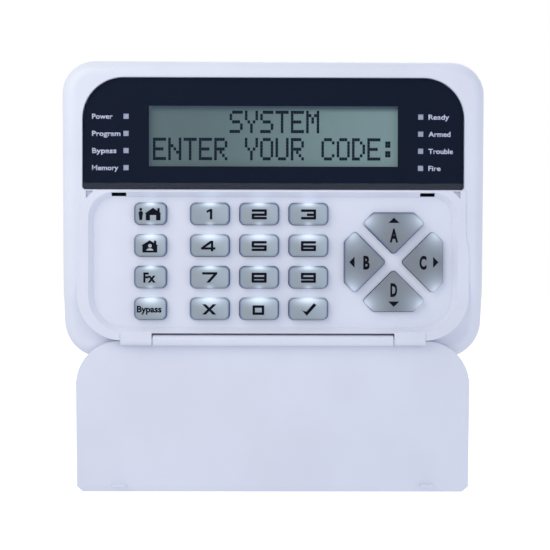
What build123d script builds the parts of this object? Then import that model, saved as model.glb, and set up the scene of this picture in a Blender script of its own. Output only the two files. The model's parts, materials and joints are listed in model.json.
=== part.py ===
from build123d import *
import os

# Alarm keypad panel: wall housing with a display window, sixteen rectangular keys, four
# direction keys and a door that flips down on a hinge under the keys.
# Millimetres, +X right, +Z up. The wall is the plane Y = 0 and the panel faces -Y.
# "Depth" is the distance in front of the wall, so a depth d lies at Y = -d.

# Housing outline
HALF_WIDTH = 84.2  # at the top
LOW_HALF_WIDTH = 83.6
HALF_HEIGHT = 59.3
TOP_CORNER = 13.0
LOW_CORNER = 15.0
WALL = 2.2
OVERLAP = 0.5  # how far joined solids sink into each other

# Depths of the housing's levels
REAR_FLOOR = 2.2
SEAM = 10.5
RIM = 27.1
RIM_ROUNDING = 5.5
SEAT = 27.5
SETBACK = 20.6  # lower rim, behind the open door
FALL_TOP = -31.0  # height where the rim starts to fall back
FALL_LOW = -50.0  # height where it reaches the setback
FALL_BEND = 30.0
BLANK_FRONT = 35.0  # thickness of the housing before its face is cut
KEY_FLOOR = 24.5
KEY_FLOOR_BACK = 22.7
POCKET_FLOOR = 25.5
DISPLAY_POCKET = 23.9
POST_ROOT = 23.0  # where the board posts join the front cover
AIR = 40.0  # depth in front of everything, for cuts

# Display window
WINDOW_HALF_WIDTH = 75.8
WINDOW_LOW = 8.2
WINDOW_HIGH = 52.6
WINDOW_CORNER = 16.3
WINDOW_LOW_CORNER = 1.2
WINDOW_GAP = 0.15
WINDOW_EDGE = 0.4
MASK_FRONT = 25.7
WINDOW_FRONT = 28.1
BEVEL_HEIGHT = 2.5
BEVEL_DEPTH = 1.2

# Groove above the window, parallel to its edge
GROOVE_OFFSET = 3.3
GROOVE_RADIUS = 2.0
GROOVE_DEEP = 0.4
GROOVE_HOOK = 14.0  # degrees of each end that follow the window's corner

# Display module
VIEW_WIDTH = 99.0
VIEW_HEIGHT = 24.0
VIEW_HEIGHT_CENTRE = 29.4
BEZEL_SIZE = (108.0, 34.0)
BEZEL_CLEARANCE = 1.5
BEZEL_SHEET = 0.5
VIEW_CLEARANCE = 0.75
GLASS_INSET = 1.7
GLASS_REAR_HEIGHT = 32.6
GLASS_FRONT_HEIGHT = 28.6
GLASS_THICK = 1.4
BACKLIGHT_SIZE = (102.0, 29.6)
STRIP_HALF_LENGTH = 49.0
STRIP_OFF_CENTRE = 15.6
GASKET_SIZE = (106.0, 31.5)
DISPLAY_BOARD_SIZE = (112.0, 41.0)
DISPLAY_BOARD_BACK = 15.6
DISPLAY_BOARD_FRONT = 17.2
GLASS_BACK = 20.4
GLASS_FRONT = 23.2
BEZEL_FRONT = 23.7
DISPLAY_POST_AT = (50.0, 18.8)  # from the display's centre
DISPLAY_POST_RADIUS = 1.65
HEADER_CENTRE = -21.0
HEADER_HEIGHT = 48.2
HEADER_PITCH = 2.54
HEADER_PINS = 16
HEADER_STRIP_HALF = 1.2
HEADER_HOLE_RADIUS = 0.45

# Status lamps
LAMP_X = 58.6
LAMP_HEIGHTS = (37.2, 30.4, 23.6, 16.8)
LAMP_WINDOW = 2.1
LAMP_CLEARANCE = 0.1
LAMP_BODY = (2.0, 1.6, 1.0)  # width, height, thickness
GUIDE_PLATE_BACK = 20.2
GUIDE_PLATE_MARGIN = 3.0

# Main circuit board
BOARD_BACK = 11.4
BOARD_FRONT = 13.0
BOARD_HALF_WIDTH = 78.0
BOARD_LOW = -48.0
BOARD_HIGH = 54.0
BOARD_POSTS = [(x, z) for x in (-73.5, 73.5) for z in (-40.0, 46.0)]
BOARD_POST_RADIUS = 3.0
BOARD_CORNER = 9.0
CHIP_AT = (18.0, 22.0)
CHIP_SIZE = (7.5, 18.0, 2.2)  # width, length, thickness
CHIP_LEGS = 14
CAPACITOR_AT = (-42.0, 4.0)
CAPACITOR_RADIUS = 4.0
CAPACITOR_TIP = 3.4
TERMINAL_HEIGHT = -8.0
TERMINAL_HALF_WIDTH = 10.2
TERMINAL_BACK = 3.6
TERMINAL_WAYS = 4
TERMINAL_PITCH = 5.08
BUZZER_RADIUS = 6.0
BUZZER_BACK = 4.6
TAMPER_BODY_BACK = 8.6

# Recessed key floor
FLOOR_HALF_WIDTH = 71.5
FLOOR_LOW = -46.8
FLOOR_HIGH = 5.2
FLOOR_TOP_CORNER = 8.5
FLOOR_LOW_CORNER = 13.0
FLOOR_WALL_SLOPE = 34.0  # degrees from square

# Door seat
SEAT_HALF_WIDTH = 78.0
SEAT_GRIP_HALF_WIDTH = 76.7  # narrower at the top, where a finger catches the door
SEAT_HIGH = 8.0
SEAT_LOW = -51.9
SEAT_LOW_CORNER = 17.9
SEAT_EDGE = 0.35
GRIP_TOP = -10.0
GRIP_LOW = -16.0

# Keys
KEY_TOP = 26.9
KEY_HEIGHT = 8.5
KEY_WIDTH = 15.5
SIDE_KEY_WIDTH = 12.7
KEY_CORNER = 2.1
KEY_EDGE = 0.5
KEY_GAP = 0.25
KEY_SKIN = 1.2
FLANGE_FRONT = 22.65
FLANGE_BACK = 21.85
FLANGE_REACH = 0.9
STEM_BACK = 17.5
STEM_RADIUS = 1.6
COLUMNS = ((-48.8, SIDE_KEY_WIDTH), (-25.2, KEY_WIDTH), (-5.6, KEY_WIDTH), (14.0, KEY_WIDTH))
FIRST_ROW = -1.5
ROW_PITCH = 12.6
KEY_NAMES = (
    ("key_leave_home", "key_1", "key_2", "key_3"),
    ("key_stay_home", "key_4", "key_5", "key_6"),
    ("key_function", "key_7", "key_8", "key_9"),
    ("key_bypass", "key_cross", "key_0", "key_tick"),
)

# Direction keys: four wedges round a diagonal cross
CLUSTER = (48.0, -20.6)
CLUSTER_HALF = 19.6
CLUSTER_FLAT = 8.1  # half the straight outer edge of a wedge
CROSS_HALF_GAP = 2.2
WEDGE_CORNER = 1.3
WEDGE_STEM_OUT = 11.5
WEDGE_LAMP_SIDE = 8.2
WEDGE_LAMP_OUT = 14.6
DIRECTIONS = {"key_a": 0, "key_b": 90, "key_d": 180, "key_c": 270}  # degrees from the top

# Rubber mat
MAT_FRONT = 14.2
MAT_SPAN = (-58.0, 69.5)
MAT_HEIGHTS = (-46.5, 4.0)
DOME_BASE_RADIUS = 3.2
DOME_TOP_RADIUS = 2.1
DOME_WALL = 0.7
PILL_RADIUS = 1.2
PILL_THICK = 0.5
DOME_ROOF = 1.2
BACKLIGHT_ABOVE = 4.7  # from a dome's middle
BACKLIGHT_BODY = (1.6, 0.8, 0.6)  # width, height, thickness

# Hinge and door
HINGE_DEPTH = 25.5
HINGE_HEIGHT = -51.9
BARREL_RADIUS = 2.2
BARREL_HALF = 47.9
ARM_INNER = 48.3
ARM_OUTER = 60.8
ARM_RADIUS = 2.0
TRUNNION_RADIUS = 1.2
TRUNNION_LENGTH = 5.7
BORE_RADIUS = 1.25
BORE_DEPTH = 6.5
BARREL_SLOT_HIGH = -49.0
DOOR_HALF_WIDTH = 78.9  # at the hinge
DOOR_FREE_HALF_WIDTH = 78.3
DOOR_HIGH = -52.3
DOOR_LOW = -112.8
DOOR_CORNER = 17.5
DOOR_CUT_CORNER = 2.3
DOOR_BACK = 21.1
DOOR_FRONT = 23.4
LIP_HEIGHT = 2.4
LIP_DEPTH = 1.3
EJECTOR_MARKS = ((-50.0, -57.6), (0.0, -58.4), (50.0, -57.6))
EJECTOR_RADIUS = 2.9
CLIP_X = 61.4
CLIP_WIDTH = 5.4
CLIP_TIP = 27.4
SLOT_LOW = 5.5
SLOT_HIGH = 6.9
CORNER_POCKET_X = (71.4, 74.4)
CORNER_POCKET_HEIGHT = (4.6, 7.6)
CORNER_POCKET_DEEP = 1.4

# Rear cover
REAR_INSET = 0.8
TONGUE_FRONT = 12.5
TONGUE_WALL = 1.4
TONGUE_GAP = 0.15
HOOK_X = 45.0  # hooks along the top edge that the case screws close against
HOOK_HALF_WIDTH = 6.0
HOOK_LOW = 55.2
RIB_X = (-35.0, 0.0, 35.0)
RIB_HEIGHTS = (36.0, 52.0)
WALL_SCREWS = [(x, z) for x in (-60.0, 60.0) for z in (-30.0, 30.0)]
WALL_SCREW_RADIUS = 2.25
CABLE_ENTRY = (0.0, -26.0, 40.0, 18.0)  # centre x, centre z, width, height
CASE_SCREW_X = 40.0
CASE_SCREW_DEPTH = 14.0
LUG_HEIGHTS = (-56.6, -50.6)
KNOCK_OUT_HEIGHTS = (-47.0, 47.0)
KNOCK_OUT_SIZE = (16.0, 9.0)
TAMPER_AT = (-20.0, 28.0)
TAMPER_HOLE_RADIUS = 1.65
BUZZER_AT = (42.0, 8.0)
SOUND_RING = 3.6
SOUND_HOLE_RADIUS = 0.8


def slab(sketch, back, front):
    """Solid between two depths, from a sketch drawn in X and Z."""
    return extrude(Plane.XZ.offset(back) * sketch, front - back, dir=(0, -1, 0))


def block(x_range, depth_range, z_range):
    """Box between two X, two depths and two heights."""
    size = (x_range[1] - x_range[0], depth_range[1] - depth_range[0], z_range[1] - z_range[0])
    middle = (sum(x_range) / 2, -sum(depth_range) / 2, sum(z_range) / 2)
    return Pos(*middle) * Box(*size)


def rod(x, z, radius, back, front):
    """Round bar standing square to the wall."""
    return slab(Pos(x, z) * Circle(radius), back, front)


def cross_rod(x_start, x_end, depth, height, radius):
    """Round bar parallel to X."""
    disc = Plane.YZ.offset(x_start) * Pos(-depth, height) * Circle(radius)
    return extrude(disc, x_end - x_start)


def prism(depth_height_points, half_width):
    """Side profile of depth and height points, extruded to both sides of X = 0."""
    corners = [(-depth, height) for depth, height in depth_height_points]
    profile = Plane.YZ * Polygon(*corners, align=None)
    return extrude(profile, half_width, both=True)


def mirrored(right_side):
    """Outline from the points of its right side and their reflections in X = 0."""
    return Polygon(*right_side, *[(-x, z) for x, z in reversed(right_side)], align=None)


def panel(half_widths, heights, corners, grow=0.0):
    """Outline from (low, high) pairs of half-widths, heights and corner radii."""
    low, high = [
        (half_width + grow, height) for half_width, height in zip(half_widths, heights)
    ]
    shape = mirrored([(low[0], low[1] - grow), (high[0], high[1] + grow)])
    shape = fillet(shape.vertices().group_by(Axis.Y)[0], corners[0] + grow)
    return fillet(shape.vertices().group_by(Axis.Y)[-1], corners[1] + grow)


def housing_outline(grow=0.0):
    half_widths = (LOW_HALF_WIDTH, HALF_WIDTH)
    return panel(half_widths, (-HALF_HEIGHT, HALF_HEIGHT), (LOW_CORNER, TOP_CORNER), grow)


def window_outline(grow=0.0):
    half_widths = (WINDOW_HALF_WIDTH, WINDOW_HALF_WIDTH)
    corners = (WINDOW_LOW_CORNER, WINDOW_CORNER)
    return panel(half_widths, (WINDOW_LOW, WINDOW_HIGH), corners, grow)


def floor_outline():
    half_widths = (FLOOR_HALF_WIDTH, FLOOR_HALF_WIDTH)
    return panel(half_widths, (FLOOR_LOW, FLOOR_HIGH), (FLOOR_LOW_CORNER, FLOOR_TOP_CORNER))


def seat_outline():
    """Door seat: full width below, drawn in a little at the top."""
    right_side = [
        (SEAT_GRIP_HALF_WIDTH, SEAT_HIGH),
        (SEAT_GRIP_HALF_WIDTH, GRIP_TOP),
        (SEAT_HALF_WIDTH, GRIP_LOW),
        (SEAT_HALF_WIDTH, SEAT_LOW),
    ]
    shape = mirrored(right_side)
    grip = [v for v in shape.vertices() if SEAT_LOW < v.Y < SEAT_HIGH]
    shape = fillet(grip, (GRIP_TOP - GRIP_LOW) * 2)
    return fillet(shape.vertices().group_by(Axis.Y)[0], SEAT_LOW_CORNER)


def front_space(rim, setback):
    """Everything in front of the housing's face: rim above, setback below the hinge."""
    far = 2 * HALF_HEIGHT
    corners = [
        (-rim, far),
        (-rim, FALL_TOP),
        (-setback, FALL_LOW),
        (-setback, -far),
        (-AIR, -far),
        (-AIR, far),
    ]
    face = Polygon(*corners, align=None)
    bends = [v for v in face.vertices() if FALL_LOW <= v.Y <= FALL_TOP]
    face = fillet(bends, FALL_BEND)
    return extrude(Plane.YZ * face, HALF_WIDTH + WALL, both=True)


def key_places():
    """Name, x, z and width of every rectangular key."""
    for row, names in enumerate(KEY_NAMES):
        for name, (x, width) in zip(names, COLUMNS):
            yield name, x, FIRST_ROW - row * ROW_PITCH, width


def key_outline(x, z, width, grow=0.0):
    size = (width + 2 * grow, KEY_HEIGHT + 2 * grow)
    return Pos(x, z) * RectangleRounded(*size, KEY_CORNER + grow)


def wedge_outline(angle, grow=0.0):
    """One direction key, turned about the middle of the cluster."""
    inset = CROSS_HALF_GAP * 2**0.5
    side = (CLUSTER_FLAT + CLUSTER_HALF + inset) / 2
    corners = [
        (0, inset),
        (side - inset, side),
        (CLUSTER_FLAT, CLUSTER_HALF),
        (-CLUSTER_FLAT, CLUSTER_HALF),
        (inset - side, side),
    ]
    shape = Polygon(*corners, align=None)
    shape = fillet(shape.vertices(), WEDGE_CORNER)
    if grow:
        shape = offset(shape, amount=grow)
    return Pos(*CLUSTER) * Rot(0, 0, angle) * shape


def wedge_stem(angle):
    """Where a direction key presses on its dome."""
    spot = Pos(*CLUSTER) * Rot(0, 0, angle) * Pos(0, WEDGE_STEM_OUT)
    return spot.position.X, spot.position.Y


def dome_places():
    keys = [(x, z) for _, x, z, _ in key_places()]
    return keys + [wedge_stem(angle) for angle in DIRECTIONS.values()]


def backlight_places():
    """One lamp above each rectangular key's dome, two beside each direction key's."""
    spots = [(x, z + BACKLIGHT_ABOVE) for _, x, z, _ in key_places()]
    for angle in DIRECTIONS.values():
        for side in (-WEDGE_LAMP_SIDE, WEDGE_LAMP_SIDE):
            spot = Pos(*CLUSTER) * Rot(0, 0, angle) * Pos(side, WEDGE_LAMP_OUT)
            spots.append((spot.position.X, spot.position.Y))
    return spots


def view_outline(grow=0.0):
    """Visible area of the display."""
    size = (VIEW_WIDTH + 2 * grow, VIEW_HEIGHT + 2 * grow)
    return Pos(0, VIEW_HEIGHT_CENTRE) * Rectangle(*size)


def lamp_places():
    return [(x, z) for x in (-LAMP_X, LAMP_X) for z in LAMP_HEIGHTS]


def lamp_outline(x, z, grow=0.0):
    side = LAMP_WINDOW + 2 * grow
    return Pos(x, z) * Rectangle(side, side)


def front_edges(solid):
    """Edges of the face nearest the viewer."""
    return solid.faces().sort_by(Axis.Y)[0].edges()


# Housing --------------------------------------------------------------------------------


def housing_skin():
    """Outside of the front cover, with its edges rounded and the door seat standing on it."""
    skin = slab(housing_outline(), SEAM, BLANK_FRONT) - front_space(RIM, SETBACK)
    rim_edges = [
        edge
        for edge in skin.edges()
        if edge.center().Y < 0.1 - SETBACK
        and (abs(edge.center().X) > 1 or abs(edge.center().Z) > HALF_HEIGHT - 1)
    ]
    skin = fillet(rim_edges, RIM_ROUNDING)
    seat = slab(seat_outline(), SETBACK - WALL, SEAT)
    seat = fillet(front_edges(seat), SEAT_EDGE)
    return skin + seat


def housing_cavity():
    """Inside of the front cover, open at the seam."""
    cavity = slab(housing_outline(-WALL), SEAM - 1, KEY_FLOOR_BACK)
    cavity -= front_space(RIM - WALL, SETBACK - WALL)
    cavity += slab(floor_outline(), SEAM, KEY_FLOOR_BACK)
    pocket = Rectangle(*[side + 2 * BEZEL_CLEARANCE for side in BEZEL_SIZE])
    return cavity + slab(Pos(0, VIEW_HEIGHT_CENTRE) * pocket, SEAM, DISPLAY_POCKET)


def key_floor_recess():
    floor = Plane.XZ.offset(KEY_FLOOR) * floor_outline()
    return extrude(floor, SEAT - KEY_FLOOR, taper=-FLOOR_WALL_SLOPE)


def window_openings():
    """Pocket for the window, display opening and the eight lamp holes."""
    cuts = slab(window_outline(WINDOW_GAP), POCKET_FLOOR, AIR)
    cuts += slab(view_outline(VIEW_CLEARANCE), KEY_FLOOR_BACK - 1, AIR)
    for x, z in lamp_places():
        cuts += slab(lamp_outline(x, z, LAMP_CLEARANCE), KEY_FLOOR_BACK - 1, AIR)
    return cuts


def key_openings():
    cuts = Part()
    for _, x, z, width in key_places():
        cuts += slab(key_outline(x, z, width, KEY_GAP), KEY_FLOOR_BACK - 1, AIR)
    for angle in DIRECTIONS.values():
        cuts += slab(wedge_outline(angle, KEY_GAP), KEY_FLOOR_BACK - 1, AIR)
    return cuts


def top_groove():
    """Shallow round groove over the window, its ends hooked down round the corners."""
    radius = WINDOW_CORNER + GROOVE_OFFSET
    centre_x = WINDOW_HALF_WIDTH - WINDOW_CORNER
    centre_z = WINDOW_HIGH - WINDOW_CORNER
    left = CenterArc((-centre_x, centre_z), radius, 90 + GROOVE_HOOK, -GROOVE_HOOK)
    middle = Line((-centre_x, centre_z + radius), (centre_x, centre_z + radius))
    right = CenterArc((centre_x, centre_z), radius, 90, -GROOVE_HOOK)
    path = Plane.XZ.offset(RIM + GROOVE_RADIUS - GROOVE_DEEP) * Wire([left, middle, right])
    profile = Plane(origin=path @ 0, z_dir=path % 0) * Circle(GROOVE_RADIUS)
    return sweep(profile, path)


def hinge_arm(side):
    """Arm at one end of the barrel; side is -1 for the left arm and 1 for the right."""
    span = sorted((side * ARM_INNER, side * ARM_OUTER))
    back = HINGE_DEPTH - ARM_RADIUS
    arm = block(span, (back, SEAT), (HINGE_HEIGHT, BARREL_SLOT_HIGH + OVERLAP))
    return arm + cross_rod(*span, HINGE_DEPTH, HINGE_HEIGHT, ARM_RADIUS)


def hinge_bore(side):
    inner = side * (ARM_INNER - OVERLAP)
    end = side * (ARM_INNER + BORE_DEPTH)
    return cross_rod(min(inner, end), max(inner, end), HINGE_DEPTH, HINGE_HEIGHT, BORE_RADIUS)


def clip_slots():
    """Slots for the door's clips, and the small corner pockets beside them."""
    cuts = Part()
    reach = CLIP_WIDTH / 2 + 0.25
    for side in (-1, 1):
        x = side * CLIP_X
        cuts += block((x - reach, x + reach), (KEY_FLOOR_BACK - 1, AIR), (SLOT_LOW, SLOT_HIGH))
        inner, outer = [side * x for x in CORNER_POCKET_X]
        low, high = CORNER_POCKET_HEIGHT
        corner = Polygon((outer, high), (inner, high), (outer, low), align=None)
        cuts += slab(corner, SEAT - CORNER_POCKET_DEEP, AIR)
    return cuts


def upright_rod(side, start, end, low_radius, high_radius):
    """Bar or cone on a case screw's axis, measured up from the housing's bottom edge."""
    spot = Pos(side * CASE_SCREW_X, -CASE_SCREW_DEPTH, 0)
    low = spot * Plane.XY.offset(start - HALF_HEIGHT) * Circle(low_radius)
    high = spot * Plane.XY.offset(end - HALF_HEIGHT) * Circle(high_radius)
    return loft([low, high])


def case_screw_hole(side):
    """Countersunk hole through the front cover's bottom wall."""
    hole = upright_rod(side, 0, WALL + 1, 1.6, 1.6)
    return hole + upright_rod(side, 0, 1.2, 2.75, 1.6)


def front_cover():
    cover = housing_skin() - housing_cavity() + inner_posts_and_hooks()
    slot_span = (-ARM_OUTER - 0.1, ARM_OUTER + 0.1)
    cover -= block(slot_span, (SETBACK, AIR), (-HALF_HEIGHT, BARREL_SLOT_HIGH))
    cover -= key_floor_recess() + window_openings() + key_openings() + clip_slots()
    cover -= top_groove() + post_bores()
    for side in (-1, 1):
        cover += hinge_arm(side)
        cover -= hinge_bore(side) + case_screw_hole(side)
    return cover


def inner_posts_and_hooks():
    """Screw posts for both boards, and the hooks that hold the rear cover's top edge."""
    added = Part()
    for x, z in BOARD_POSTS:
        added += rod(x, z, BOARD_POST_RADIUS, BOARD_FRONT, POST_ROOT)
    for x, z in display_posts():
        added += rod(x, z, DISPLAY_POST_RADIUS, DISPLAY_BOARD_FRONT, DISPLAY_POCKET + 0.1)
    for x in (-HOOK_X, HOOK_X):
        span = (x - HOOK_HALF_WIDTH, x + HOOK_HALF_WIDTH)
        added += block(span, (SEAM - 3, SEAM + 3), (HOOK_LOW, HALF_HEIGHT - WALL + 0.1))
    return added


def post_bores():
    bores = Part()
    for x, z in BOARD_POSTS:
        bores += rod(x, z, 1.0, BOARD_FRONT - 1, KEY_FLOOR_BACK - 1)
    for x, z in display_posts():
        bores += rod(x, z, 0.8, DISPLAY_BOARD_FRONT - 1, KEY_FLOOR_BACK - 1)
    return bores


def display_posts():
    x, z = DISPLAY_POST_AT
    return [(i * x, VIEW_HEIGHT_CENTRE + j * z) for i in (-1, 1) for j in (-1, 1)]


def rear_cover():
    shell = slab(housing_outline(-REAR_INSET), 0, SEAM)
    shell = fillet(shell.faces().sort_by(Axis.Y)[-1].edges(), 1.2)
    tongue = slab(housing_outline(-WALL - TONGUE_GAP), SEAM - OVERLAP, TONGUE_FRONT)
    inner_edge = REAR_INSET + WALL + TONGUE_WALL
    cover = shell + tongue
    cover -= slab(housing_outline(-inner_edge), REAR_FLOOR, TONGUE_FRONT + 1)
    root = REAR_FLOOR - OVERLAP
    for x in (-CASE_SCREW_X, CASE_SCREW_X):
        lug = block((x - 5, x + 5), (root, SETBACK - WALL - 0.6), LUG_HEIGHTS)
        bore = Plane.XY.offset(-HALF_HEIGHT) * Pos(x, -CASE_SCREW_DEPTH) * Circle(1.3)
        cover = cover + lug - extrude(bore, HALF_HEIGHT + LUG_HEIGHTS[1] - OVERLAP)
    for x in (-HOOK_X, HOOK_X):
        span = (x - HOOK_HALF_WIDTH - 0.2, x + HOOK_HALF_WIDTH + 0.2)
        cover -= block(span, (SEAM - 3.2, SEAM + 4), (HOOK_LOW - 0.7, HALF_HEIGHT - WALL + 0.3))
    for x in RIB_X:
        cover += block((x - 0.6, x + 0.6), (root, REAR_FLOOR + 0.8), RIB_HEIGHTS)
    for x, z in WALL_SCREWS:
        cover += rod(x, z, 2 * WALL_SCREW_RADIUS, root, REAR_FLOOR + 1.2)
        cover -= rod(x, z, WALL_SCREW_RADIUS, -1, SEAM)
    return cover - rear_openings()


def rear_openings():
    """Cable entry, knock-out outlines, tamper hole and the sound holes behind the buzzer."""
    x, z, width, height = CABLE_ENTRY
    cuts = slab(Pos(x, z) * RectangleRounded(width, height, 2), -1, SEAM)
    cuts += rod(*TAMPER_AT, TAMPER_HOLE_RADIUS, -1, SEAM)
    for spot in PolarLocations(SOUND_RING, 6):
        sound = Pos(*BUZZER_AT) * spot
        cuts += rod(sound.position.X, sound.position.Y, SOUND_HOLE_RADIUS, -1, SEAM)
    cuts += rod(*BUZZER_AT, SOUND_HOLE_RADIUS, -1, SEAM)
    inner_size = [side - 1.2 for side in KNOCK_OUT_SIZE]
    for z in KNOCK_OUT_HEIGHTS:
        ring = RectangleRounded(*KNOCK_OUT_SIZE, 1.5) - RectangleRounded(*inner_size, 0.9)
        cuts += slab(Pos(0, z) * ring, -1, 0.6)
    return cuts


# Window and display ---------------------------------------------------------------------


def display_window():
    lens = slab(window_outline(), MASK_FRONT, WINDOW_FRONT)
    bevel = [
        (WINDOW_FRONT, WINDOW_LOW + BEVEL_HEIGHT),
        (WINDOW_FRONT - BEVEL_DEPTH, WINDOW_LOW - 0.01),
        (AIR, WINDOW_LOW - 0.01),
        (AIR, WINDOW_LOW + BEVEL_HEIGHT),
    ]
    lens -= prism(bevel, HALF_WIDTH)
    face = lens.faces().sort_by(Axis.Y)[0]
    edges = [edge for edge in face.edges() if edge.center().Z > WINDOW_LOW + BEVEL_HEIGHT + 1]
    return fillet(edges, WINDOW_EDGE)


def window_mask():
    """Printed film behind the window, open over the display and the lamps."""
    film = window_outline() - view_outline()
    for x, z in lamp_places():
        film -= lamp_outline(x, z)
    return slab(film, POCKET_FLOOR, MASK_FRONT)


def display_plate(width, height, back, front):
    """Flat rectangular piece of the display module."""
    return slab(Pos(0, VIEW_HEIGHT_CENTRE) * Rectangle(width, height), back, front)


def display_glass():
    """Two bonded glass plates; the rear one is taller, for the contacts."""
    width = BEZEL_SIZE[0] - 2 * GLASS_INSET
    rear = display_plate(width, GLASS_REAR_HEIGHT, GLASS_BACK, GLASS_FRONT - GLASS_THICK)
    return rear + display_plate(width, GLASS_FRONT_HEIGHT, GLASS_BACK, GLASS_FRONT)


def display_bezel():
    width, height = BEZEL_SIZE
    frame = display_plate(width, height, DISPLAY_BOARD_FRONT, BEZEL_FRONT)
    frame = fillet(frame.edges().filter_by(Axis.Y), 0.8)
    hollow = (width - 6 * BEZEL_SHEET, height - 2 * BEZEL_SHEET)
    frame -= display_plate(*hollow, 0, GLASS_FRONT)
    return frame - slab(view_outline(0.3), 0, AIR)


def display_backlight():
    return display_plate(*BACKLIGHT_SIZE, DISPLAY_BOARD_FRONT, GLASS_BACK)


def display_connector_strips():
    """Two soft strips that join the glass to the board along its long edges."""
    strips = Part()
    span = (-STRIP_HALF_LENGTH, STRIP_HALF_LENGTH)
    for side in (-1, 1):
        z = VIEW_HEIGHT_CENTRE + side * STRIP_OFF_CENTRE
        strips += block(span, (DISPLAY_BOARD_FRONT, GLASS_BACK), (z - 0.5, z + 0.5))
    return strips


def display_gasket():
    ring = display_plate(*GASKET_SIZE, BEZEL_FRONT, DISPLAY_POCKET)
    return ring - slab(view_outline(VIEW_CLEARANCE + 0.5), 0, AIR)


def header_pins(radius, back, front):
    pins = Part()
    for spot in GridLocations(HEADER_PITCH, 1, HEADER_PINS, 1):
        x = HEADER_CENTRE + spot.position.X
        pins += rod(x, HEADER_HEIGHT, radius, back, front)
    return pins


def display_circuit_board():
    board = display_plate(*DISPLAY_BOARD_SIZE, DISPLAY_BOARD_BACK, DISPLAY_BOARD_FRONT)
    for x, z in display_posts():
        board -= rod(x, z, 1.0, 0, AIR)
    return board - header_pins(HEADER_HOLE_RADIUS, 0, AIR)


def display_pin_header():
    half = HEADER_PITCH * HEADER_PINS / 2
    span = (HEADER_CENTRE - half, HEADER_CENTRE + half)
    heights = (HEADER_HEIGHT - HEADER_STRIP_HALF, HEADER_HEIGHT + HEADER_STRIP_HALF)
    strip = block(span, (BOARD_FRONT, DISPLAY_BOARD_BACK), heights)
    return strip + header_pins(0.32, BOARD_BACK - 1, DISPLAY_BOARD_FRONT + 0.6)


def light_guide(side):
    """Clear strip with four square rods that carry the lamps' light to the window."""
    x = side * LAMP_X
    heights = (LAMP_HEIGHTS[-1] - GUIDE_PLATE_MARGIN, LAMP_HEIGHTS[0] + GUIDE_PLATE_MARGIN)
    plate_span = (x - LAMP_WINDOW, x + LAMP_WINDOW)
    guide = block(plate_span, (GUIDE_PLATE_BACK, KEY_FLOOR_BACK), heights)
    for z in LAMP_HEIGHTS:
        guide += slab(lamp_outline(x, z), BOARD_FRONT + LAMP_BODY[2] + 0.3, POCKET_FLOOR)
    return guide


# Boards and what stands on them ---------------------------------------------------------


def main_circuit_board():
    half_widths, heights = (BOARD_HALF_WIDTH, BOARD_HALF_WIDTH), (BOARD_LOW, BOARD_HIGH)
    outline = panel(half_widths, heights, (BOARD_CORNER, BOARD_CORNER))
    board = slab(outline, BOARD_BACK, BOARD_FRONT)
    for x, z in BOARD_POSTS:
        board -= rod(x, z, 1.4, 0, AIR)
    return board - header_pins(HEADER_HOLE_RADIUS, 0, AIR)


def microcontroller():
    """Surface-mount chip on the back of the board, with legs on both long sides."""
    x, z = CHIP_AT
    width, length, thickness = CHIP_SIZE
    front = BOARD_BACK - 0.15
    heights = (z - length / 2, z + length / 2)
    body = block((x - width / 2, x + width / 2), (front - thickness, front), heights)
    leg_span = (x - width / 2 - 1, x + width / 2 + 1)
    for spot in GridLocations(1, length / CHIP_LEGS, 1, CHIP_LEGS):
        leg_z = z + spot.position.Y
        body += block(leg_span, (front - 0.3, BOARD_BACK), (leg_z - 0.2, leg_z + 0.2))
    return body


def terminal_block():
    """Four cable clamps side by side, with wire mouths facing down."""
    span = (-TERMINAL_HALF_WIDTH, TERMINAL_HALF_WIDTH)
    heights = (TERMINAL_HEIGHT - 4, TERMINAL_HEIGHT + 4)
    shell = block(span, (TERMINAL_BACK, BOARD_BACK), heights)
    shell = fillet(shell.edges().filter_by(Axis.X).group_by(Axis.Y)[-1], 0.8)
    mouth_heights = (heights[0] - 1, TERMINAL_HEIGHT + 1.5)
    for x in terminal_places():
        shell -= block((x - 1.7, x + 1.7), (6.4, 10.0), mouth_heights)
        shell -= rod(x, TERMINAL_HEIGHT, 1.9, 0, 6.0)
    return shell


def terminal_places():
    return [spot.position.X for spot in GridLocations(TERMINAL_PITCH, 1, TERMINAL_WAYS, 1)]


def terminal_screws():
    screws = Part()
    slot_heights = (TERMINAL_HEIGHT - 0.25, TERMINAL_HEIGHT + 0.25)
    for x in terminal_places():
        screw = rod(x, TERMINAL_HEIGHT, 1.8, 4.2, 6.0)
        screws += screw - block((x - 2, x + 2), (0, 4.8), slot_heights)
    return screws


def buzzer():
    can = rod(*BUZZER_AT, BUZZER_RADIUS, BUZZER_BACK, BOARD_BACK)
    can = fillet(can.faces().sort_by(Axis.Y)[-1].edges(), 0.6)
    return can - rod(*BUZZER_AT, 1.0, 0, BUZZER_BACK + 1.4)


def capacitor():
    can = rod(*CAPACITOR_AT, CAPACITOR_RADIUS, CAPACITOR_TIP, BOARD_BACK)
    return fillet(can.faces().sort_by(Axis.Y)[-1].edges(), 0.5)


def board_lamps(places, width, height, thickness):
    """Surface-mount lamps on the front of the main board."""
    lamps = Part()
    for x, z in places:
        face = Pos(x, z) * Rectangle(width, height)
        lamps += slab(face, BOARD_FRONT, BOARD_FRONT + thickness)
    return lamps


def status_lamps():
    return board_lamps(lamp_places(), *LAMP_BODY)


def key_backlights():
    return board_lamps(backlight_places(), *BACKLIGHT_BODY)


def tamper_switch():
    x, z = TAMPER_AT
    body = block((x - 4, x + 4), (TAMPER_BODY_BACK, BOARD_BACK), (z - 4, z + 4))
    return body - rod(x, z, 1.6, 0, BOARD_BACK - 0.2)


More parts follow.
